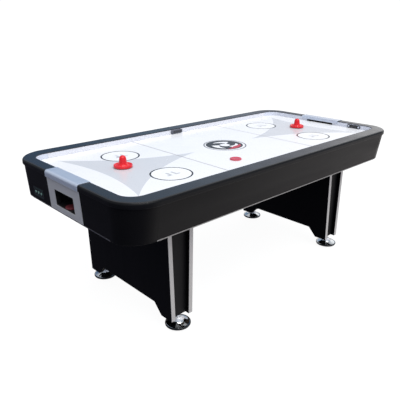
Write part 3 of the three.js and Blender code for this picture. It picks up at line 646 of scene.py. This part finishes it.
def add_goal_caps(m):
    lip, bend = HEIGHT - 17, APRON_TOP - 6
    path = [
        (FIELD_X - GAP, lip), (FIELD_X - GAP, HEIGHT + GAP), (NOSE_X + GAP, HEIGHT + GAP),
        (NOSE_X + GAP, APRON_TOP - 1), (apron_x(bend) + 0.8, bend), (apron_x(CAP_LOW) + GAP, CAP_LOW),
    ]
    inner = fillet(path, [2.2, NOSE_BEVEL, 2.5, 3], 8)
    outer = offset_path(inner, CAP_SKIN)
    outline = inner + outer[::-1]
    for name, sign in (("left", -1), ("right", 1)):
        points, faces = prism(outline, -CAP_HALF, CAP_HALF, lambda u, v, w, s=sign: (s * u, w, v))
        piece = new_piece(f"goal_cap_sheet_{name}", points, faces, [m["silver"], m["silver_top"]], cap_pick)
        x0, x1 = sorted((sign * (NOSE_X - 34), sign * (NOSE_X + 36)))
        cut(piece, block("window", x0, x1, -WINDOW_HALF, WINDOW_HALF, WINDOW_LOW, WINDOW_HIGH, 3))
        own(soften(piece, 0.8, 3, 45, pick=cap_pick), "table", "silver", f"goal_cap_{name}")


# ---- Legs and feet ----
def leg_half(z):
    """Half the width of a leg at a height, from its taper."""
    return LEG_HALF_BOTTOM + (LEG_HALF_TOP - LEG_HALF_BOTTOM) * (z - LEG_BOTTOM) / (TAPER_TOP - LEG_BOTTOM)


def add_leg_bands(m):
    """Silver banding on the upright edges of the four leg boards."""
    crown, half = 1.1, BOARD_THICK / 2 - 0.1
    levels = ((LEG_BOTTOM + 0.4, 0.7), (LEG_BOTTOM + 1.2, 0), (LEG_TOP - 1, 0), (LEG_TOP - 0.2, 0.7))
    for end, sign_x in (("left", -1), ("right", 1)):
        for board, side in (("outer", sign_x), ("inner", -sign_x)):
            for edge, sign_y in (("near", -1), ("far", 1)):
                rings = []
                for z, drop in levels:
                    middle = LEG_X * sign_x + side * (leg_half(z) - BOARD_THICK / 2)
                    across = [(-half, 0.05), (-half, 0.3), (-half + 0.9, crown - drop), (half - 0.9, crown - drop),
                              (half, 0.3), (half, 0.05)]
                    rings.append([(middle + u, sign_y * (LEG_HALF_WIDTH + v), z) for u, v in across])
                piece = new_piece(f"{end}_leg_band_{board}_{edge}", *carry(rings), [m["band"]], sharp=60)
                level_normals(piece)
                own(piece, "table", "silver")


def add_levelers(m):
    dish = [
        (0, 0), (62.5, 0), (64, 0.8), (64.3, 3), (65.2, 3.2), (66, 4), (66, 9), (65.3, 10.8), (63.6, 11.6),
        (61.8, 11.4), (60.4, 10.4), (58.6, 10.4), (54, 11.6), (47, 13.6), (40, 16.4), (34, 19.4), (29.5, 22.4),
        (27, 25.2), (25.2, 28.6), (24, 32.5), (23, 36.5), (21.6, 40), (19, 42.6), (15.6, 43.8), (12, 44.2),
        (9.4, 44.2), (8.2, 44.6),
    ]
    crest, root, pitch = 7.95, 7.15, 2.5
    thread = [(crest if half_turn % 2 else root, 45.4 + half_turn * pitch / 2) for half_turn in range(31)]
    profile = dish + thread + [(6.6, 84), (0, 84)]

    def pick(centre):
        """0 chrome dish, 1 dark rim, 2 rubber underneath, 3 steel thread, 4 hub painted near-white as a painted
        highlight.
        """
        radius = math.hypot(abs(centre.x) - LEG_X, abs(centre.y) - FOOT_Y)
        if centre.z < 3.1 and radius < 66:
            return 2
        if radius > 62.5:
            return 1
        if centre.z > 52:
            return 3
        return 4 if radius < 25.5 and centre.z > 27 else 0

    for end, sign_x in (("left", -1), ("right", 1)):
        for side, sign_y in (("near", -1), ("far", 1)):
            turned = lathe(profile, sign_x * LEG_X, sign_y * FOOT_Y, 0)
            looks = [m["chrome"], m["dark_chrome"], m["rubber"], m["steel"], m["nickel"]]
            piece = new_piece(f"{end}_foot_{side}", *turned, looks, pick, sharp=50)
            own(piece, f"{end}_{side}_foot", "chrome", f"{end}_leveler_{side}")


# ---- Pushers and pucks ----
def smooth_profile(profile, steps):
    """A Catmull-Rom curve through the profile's points."""
    made, last = [], len(profile) - 1
    for k in range(last):
        p0, p1, p2, p3 = (Vector(profile[min(last, max(0, k + d))]) for d in (-1, 0, 1, 2))
        for step in range(steps):
            t = step / steps
            spot = 0.5 * (2 * p1 + (p2 - p0) * t + (2 * p0 - 5 * p1 + 4 * p2 - p3) * t * t
                          + (3 * p1 - p0 - 3 * p2 + p3) * t ** 3)
            made.append((max(0.0, spot.x), spot.y))
    made.append(tuple(profile[-1]))
    return made


def node_middle(node):
    """The middle of a CAD node's underside, in millimetres."""
    low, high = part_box(node)
    return (low.x + high.x) / 2 / MM, (low.y + high.y) / 2 / MM, low.z / MM


def add_pushers(m):
    for side in ("left", "right"):
        x, y, z = node_middle(f"{side}_pusher")
        foot = [(0, 0), (45.2, 0), (46.6, 0.4), (47.6, 1.3), (48, 2.6)]
        body = smooth_profile([(48, 2.6), (48, 10), (47.2, 12.6), (45, 14), (42.4, 13.2), (40, 11.2), (36, 9.4),
                              (32, 9.2), (28, 10.4), (24.8, 13.2), (22.6, 17), (21, 22), (19.8, 29), (18.9, 36),
                              (18.1, 42), (16.9, 48), (14.8, 53), (11.4, 57), (7, 59.3), (3, 60), (0, 60)], 3)
        piece = new_piece(f"{side}_striker", *lathe(foot + body[1:], x, y, z), [m["red_plastic"]], sharp=50)
        own(piece, f"{side}_player_pusher", "red_plastic", f"{side}_pusher")
        x, y, z = node_middle(f"{side}_pusher_felt")
        pad = [(0, 0), (44, 0), (44.8, 0.5), (45, 1.2), (44.6, 2), (0, 2)]
        piece = new_piece(f"{side}_striker_felt", *lathe(pad, x, y, z), [m["felt"]])
        own(piece, f"{side}_player_pusher", "felt", f"{side}_pusher_felt")


def add_pucks(m):
    profile = [(0, 0.35), (22, 0.35), (23, 0), (30.2, 0), (31.1, 0.4), (31.5, 1.3), (31.5, 5.2), (31.1, 6.1),
               (30.2, 6.5), (23, 6.5), (22, 6.15), (0, 6.15)]
    # The spare puck takes the darker copy of the puck plastic: painted shade from the goal box, plus a few scuffs.
    for node, body, look in (("puck", "puck_in_play", "puck_red"), ("spare_puck", "puck_in_goal", "puck_scuffed")):
        piece = new_piece(f"{node}_disc", *lathe(profile, *node_middle(node)), [m[look]], sharp=50)
        own(piece, body, "puck_red", node)


# ---- Playfield graphics: prints a few hundredths of a millimetre thick ----
def flat_print(name, outlines, level, material):
    """Each outline is a list of (x, y) points, or a pair of lists for a band between them."""
    points, faces = [], []
    for outline in outlines:
        start = len(points)
        if isinstance(outline, tuple):
            inner, outer = outline
            count = len(inner)
            points += [(x, y, FIELD_Z + level) for x, y in list(inner) + list(outer)]
            faces += [(start + k, start + (k + 1) % count, start + count + (k + 1) % count, start + count + k)
                      for k in range(count)]
        else:
            points += [(x, y, FIELD_Z + level) for x, y in outline]
            faces.append(tuple(range(start, start + len(outline))))
    piece = new_piece(name, points, faces, [material])
    if piece.data.polygons[0].normal.z < 0:
        piece.data.flip_normals()
    return own(piece, "table", "playfield")


def ring(cx, cy, inner, outer):
    return circle(cx, cy, inner), circle(cx, cy, outer)


def bar(x0, x1, y0, y1):
    return [(x0, y0), (x1, y0), (x1, y1), (x0, y1)]


def polar(radius, angle):
    return radius * math.cos(angle), radius * math.sin(angle)


def bowed(start, end, sag, steps=20):
    """An arc from start to end that bows sideways by sag at its middle."""
    a, b = Vector(start), Vector(end)
    side = Vector((-(b - a).y, (b - a).x)).normalized()
    return [tuple(a.lerp(b, k / steps) + side * sag * 4 * (k / steps) * (1 - k / steps)) for k in range(steps)]


def blade(turn, reach=81, root=30, sweep_angle=1.45, steps=12):
    """A curved blade between an arc and a line that winds out to meet its end."""
    edge = [polar(reach, turn + sweep_angle * t / steps) for t in range(steps + 1)]
    back = [polar(reach - (reach - root) * (1 - t / steps) ** 0.8, turn + sweep_angle * (t / steps))
            for t in range(steps + 1)]
    return edge + back[-2::-1]


def crescent(radius=96, depth=36, start=-2.2, sweep_angle=1.75, steps=24):
    """A sliver inside a circle, deepest at its middle."""
    angles = [start + sweep_angle * t / steps for t in range(steps + 1)]
    back = [polar(radius - depth * math.sin(math.pi * t / steps), angles[t]) for t in range(steps - 1, 0, -1)]
    return [polar(radius, angle) for angle in angles] + back


def add_prints(m):
    star_back, star_half, star_tip, star_bow = 900, 371, 245, 61
    stars = []
    for side in (-1, 1):
        tips = [(side * star_back, star_half), (side * star_back, -star_half), (side * star_tip, 0)]
        edges = [bowed(a, b, side * -star_bow) for a, b in zip(tips, tips[1:] + tips[:1])]
        stars.append([p for edge in edges for p in edge])
    flat_print("print_stars", stars, 0.02, m["print_grey"])
    zone, line_half, line_reach = 360, 3.2, 444
    lines = [bar(x - line_half, x + line_half, -line_reach, line_reach) for x in (-zone, zone)]
    flat_print("print_zone_lines", lines, 0.04, m["print_pale"])
    centres = [(sx * FACE_OFF_X, sy * FACE_OFF_Y) for sx in (-1, 1) for sy in (-1, 1)]
    flat_print("print_face_off_discs", [circle(x, y, 101.5) for x, y in centres], 0.05, m["print_white"])
    flat_print("print_face_off_rings", [ring(x, y, 98.5, 107) for x, y in centres], 0.07, m["print_dark"])
    near, far, stem, half, thick = 10, 38, 22, 24, 12
    marks = []
    for x, y in centres:
        for sx in (-1, 1):
            marks += [bar(*sorted((x + sx * near, x + sx * far)), y - half, y - thick),
                      bar(*sorted((x + sx * near, x + sx * stem)), y - thick, y + half)]
    flat_print("print_face_off_marks", marks, 0.07, m["print_mid"])
    flat_print("print_centre_ring", [ring(0, 0, 122.5, 129.5)], 0.04, m["print_slate"])
    flat_print("print_centre_disc", [circle(0, 5, 112)], 0.04, m["print_dark"])
    flat_print("print_centre_blades", [blade(math.tau * k / 3 + 0.5) for k in range(3)], 0.06, m["print_white"])
    flat_print("print_centre_hub", [circle(0, 0, 30, 48)], 0.06, m["print_white"])
    flat_print("print_centre_sweep", [crescent()], 0.08, m["print_red"])


# ---- Score display, score unit, controls ----
def plates(name, outlines, low, high, place, material, width=0.0):
    """Flat plates between two depths of a surface, with softened edges where a width is given."""
    points, faces = [], []
    for outline in outlines:
        more, sides = prism(outline, low, high, place)
        faces += [tuple(len(points) + k for k in side) for side in sides]
        points += more
    piece = new_piece(name, points, faces, [material])
    return soften(piece, width) if width else piece


def quads(inner, outer):
    """A band between two closed outlines, as four-sided outlines."""
    count = len(inner)
    return [[inner[k], inner[(k + 1) % count], outer[(k + 1) % count], outer[k]] for k in range(count)]


def add_score_display(m):
    depth, centre_x, centre_z, screen_shift = 13, -8, FIELD_Z + 14.5, 2
    front = FIELD_Y + WALL_INSET - GAP - depth

    def place(u, v, w):
        return centre_x + u, front + w, centre_z + v

    def screen_place(u, v, w):
        return place(u + screen_shift, v, w)

    body = plates("score_housing", [round_rect(44, 11.5, 3.5)], 0.4, depth, place, m["slate_plastic"])
    cut(body, plates("pocket", [round_rect(35, 7.2, 1.5)], -2, 2.5, screen_place, m["slate_plastic"]))
    own(soften(body, 1.0, 3, 45), "table", "slate_plastic", "score_display")
    lens = plates("score_lens", [round_rect(34.6, 6.8, 1.2)], 1.2, 2.4, screen_place, m["lens"], 0.3)
    own(lens, "table", "slate_plastic")


def add_score_unit(m):
    wall, centre_y, centre_z, reach = FIELD_X + WALL_INSET - GAP, -283, FIELD_Z + 13, 38

    def place(u, v, w):
        return wall - w, centre_y + u, centre_z + v

    body = plates("score_pill", [round_rect(50, 10, 9.9, 10)], 0, 5, place, m["dark_plastic"])
    for side in (-1, 1):
        cut(body, plates("well", [circle(side * reach, 0, 6.5, 40)], 1.2, 9, place, m["dark_plastic"]))
    own(soften(body, 0.9, 3, 45), "table", "dark_plastic", "score_unit")
    stripe = plates("score_pill_window", [round_rect(24, 5.5, 5, 8)], 4.95, 5.15, place, m["lens"])
    own(stripe, "table", "dark_plastic")
    for name, side in (("near", -1), ("far", 1)):
        key = plates(f"score_key_{name}", [circle(side * reach, 0, 6.2, 40)], 2.7, 7, place, m["pale_plastic"], 0.9)
        own(key, f"{name}_score_key", "pale_plastic", f"score_button_{name}")


def add_controls(m):
    tilt = math.atan(END_LEAN / (APRON_TOP - TRIM_Z))
    centre_y, centre_z, step = 281, 637, 30

    def place(u, v, w):
        x, z = -w, v
        return (x * math.cos(tilt) - z * math.sin(tilt) - apron_x(centre_z), centre_y - u,
                x * math.sin(tilt) + z * math.cos(tilt) + centre_z)

    plate = plates("control_panel", [round_rect(56, 26, 6, 8)], -8.5, 1, place, m["gloss_panel"])
    for k in (-1, 0, 1):
        cut(plate, plates("well", [circle(k * step, 0, 7.4, 40)], -5, 5, place, m["gloss_panel"]))
    own(soften(plate, 0.6, 2, 45), "table", "dark_plastic", "control_plate")
    art = []
    for sign in (-1, 1):
        inside, outside = sign * 15.4, sign * 17.4
        for tick in (k * 11 for k in range(-3, 4)):
            art.append([(tick - 3.6, inside), (tick + 3.6, inside), (tick + 2.4, outside), (tick - 2.4, outside)])
    art += quads(round_rect(50, 21, 4, 8), round_rect(51, 22, 5, 8))
    for k in (-1, 0, 1):
        art += quads(circle(k * step, 0, 9.2, 40), circle(k * step, 0, 10, 40))
    own(plates("control_panel_lines", art, 0.98, 1.08, place, m["green_print"]), "table", "green_key")
    for k, name in ((1, "power"), (0, "reset"), (-1, "sound")):
        key = plates(f"{name}_key_cap", [circle(k * step, 0, 7, 40)], -3, 2.6, place, m["green_key"], 0.8)
        own(key, f"{name}_key", "green_key", f"{name}_button")


# ---- Carried-over CAD nodes ----
def dress_nodes(m):
    special = {f"{end}_leg_panel_{side}": "leg_panel" for end in ("left", "right") for side in ("near", "far")}
    for row in frame["record"]["subparts"]:
        node = NODES[row["node"]]
        node.data.materials.clear()
        node.data.materials.append(m[special.get(row["node"], row["material_slot"])])
    rounded = ["apron_near", "apron_far", "apron_left", "apron_right", "side_wall_near", "side_wall_far"]
    rounded += [f"{end}_leg_{part}" for end in ("left", "right")
                for part in ("outer_board", "inner_board", "panel_near", "panel_far", "top_plate")]
    for name in rounded:
        node = NODES[name]
        weld = node.modifiers.new("weld", "WELD")
        weld.merge_threshold = 0.02 * MM
        bevel = node.modifiers.new("edges", "BEVEL")
        bevel.width, bevel.segments = 0.6 * MM, 2
        bevel.limit_method, bevel.angle_limit = "ANGLE", math.radians(40)
        level_normals(node)


# ---- Stage ----
def mixed_output(graph, kind, amount, first, second):
    mixed = graph.node("ShaderNodeMixShader", {0: amount, 1: first, 2: second})
    graph.node(kind, {"Surface": mixed.outputs[0]})


def add_stage():
    """A plain floor, just low enough for the feet to wind all the way down."""
    half, level = 60.0, -FLOOR_DROP * MM
    mesh = bpy.data.meshes.new("floor")
    mesh.from_pydata([(-half, -half, level), (half, -half, level), (half, half, level), (-half, half, level)], [],
                     [(0, 1, 2, 3)])
    floor = bpy.data.objects.new("floor", mesh)
    bpy.context.scene.collection.objects.link(floor)
    material = bpy.data.materials.new("floor_white")
    graph = empty_graph(material)
    matt = graph.node("ShaderNodeBsdfDiffuse", {"Color": (0.85, 0.85, 0.85, 1)})
    light = graph.node("ShaderNodeEmission", {"Color": (1, 1, 1, 1), "Strength": 1.1})
    mixed_output(graph, "ShaderNodeOutputMaterial", 0.86, matt.outputs[0], light.outputs[0])
    mesh.materials.append(material)
    floor.visible_glossy = False
    floor.visible_diffuse = False
    floor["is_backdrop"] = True


def add_world():
    """A soft room: dim and cool on the left, bright on the right, white behind everything."""
    world = bpy.data.worlds.new("studio")
    bpy.context.scene.world = world
    graph = empty_graph(world)
    way = graph.node("ShaderNodeTexCoord").outputs["Generated"]
    x, y, z = graph.node("ShaderNodeSeparateXYZ", {0: way}).outputs
    flat = graph.math("SQRT", graph.math("ADD", graph.math("MULTIPLY", x, x), graph.math("MULTIPLY", y, y)))
    heading = graph.math("DIVIDE", x, graph.math("MAXIMUM", flat, 0.001))
    side = graph.math("DIVIDE", y, graph.math("MAXIMUM", flat, 0.001))
    behind = heading_ramp(graph, heading, [
        (-1.0, (0.4, 0.42, 0.45)), (-0.1, (0.33, 0.37, 0.44)), (0.32, (0.09, 0.17, 0.31)),
        (0.46, (0.12, 0.215, 0.345)), (0.62, (0.29, 0.41, 0.56)), (0.72, (0.44, 0.52, 0.64)),
        (0.8, (0.54, 0.58, 0.67)), (0.855, (0.72, 0.72, 0.77)), (0.9, (1.27, 1.27, 1.27))])
    in_front, overhead = (0.5, 0.565, 0.67, 1), (0.7, 0.71, 0.74, 1)
    low_behind, low_in_front, low_right = (0.075, 0.074, 0.11, 1), (0.17, 0.165, 0.23, 1), (1.0, 0.955, 0.95, 1)
    around = graph.blend(graph.span(side, 0.1, -0.3, smooth=True), behind, in_front)
    low = graph.span(heading, -0.2, 0.78, smooth=True)
    cool = graph.blend(graph.span(side, -0.2, -0.6), low_behind, low_in_front)
    lower = graph.blend(low, cool, low_right)
    upper = graph.blend(graph.span(z, 0.35, 0.75, smooth=True), around, overhead)
    whole = graph.blend(graph.span(z, -0.03, 0.03), lower, upper)
    room = graph.node("ShaderNodeBackground", {"Color": whole, "Strength": 1.0})
    white = graph.node("ShaderNodeBackground", {"Color": (1, 1, 1, 1), "Strength": 1.05})
    seen = graph.node("ShaderNodeLightPath").outputs["Is Camera Ray"]
    mixed_output(graph, "ShaderNodeOutputWorld", seen, room.outputs[0], white.outputs[0])


def heading_ramp(graph, heading, stops, gain=1.7):
    """Colours by heading from -1, left, to 1, right. The ramp holds them divided by the gain, as it stops at 1."""
    node = graph.node("ShaderNodeValToRGB", {0: graph.span(heading, -1.0, 1.0)})
    ramp = node.color_ramp
    while len(ramp.elements) > 1:
        ramp.elements.remove(ramp.elements[-1])
    for k, (stop, color) in enumerate(stops):
        spot = (stop + 1) / 2
        element = ramp.elements[0] if k == 0 else ramp.elements.new(spot)
        element.position = spot
        element.color = tuple(c / gain for c in color) + (1,)
    return graph.vector("MULTIPLY", node.outputs[0], (gain, gain, gain))


def add_sun(toward, strength, spread):
    data = bpy.data.lights.new("key", "SUN")
    data.energy = strength
    data.angle = math.radians(spread)
    sun = bpy.data.objects.new("key", data)
    sun.rotation_euler = Vector(toward).to_track_quat("Z", "Y").to_euler()
    bpy.context.scene.collection.objects.link(sun)


def build():
    add_camera()
    m = make_materials()
    dress_nodes(m)
    for add in (add_rails, add_corner_caps, add_end_walls, add_goal_caps, add_leg_bands, add_levelers, add_pushers,
                add_pucks, add_prints, add_score_display, add_score_unit, add_controls):
        add(m)
    add_stage()
    add_world()
    add_sun((-0.1, -0.6, 1.2), 2.05, 50)
    view = bpy.context.scene.view_settings
    view.view_transform = "Standard"
    view.look = "None"


build()


def corners(box):
    return [[float(c) for c in corner] for corner in box]


{"cad": corners(CAD_BOX), "visual": corners(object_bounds())}
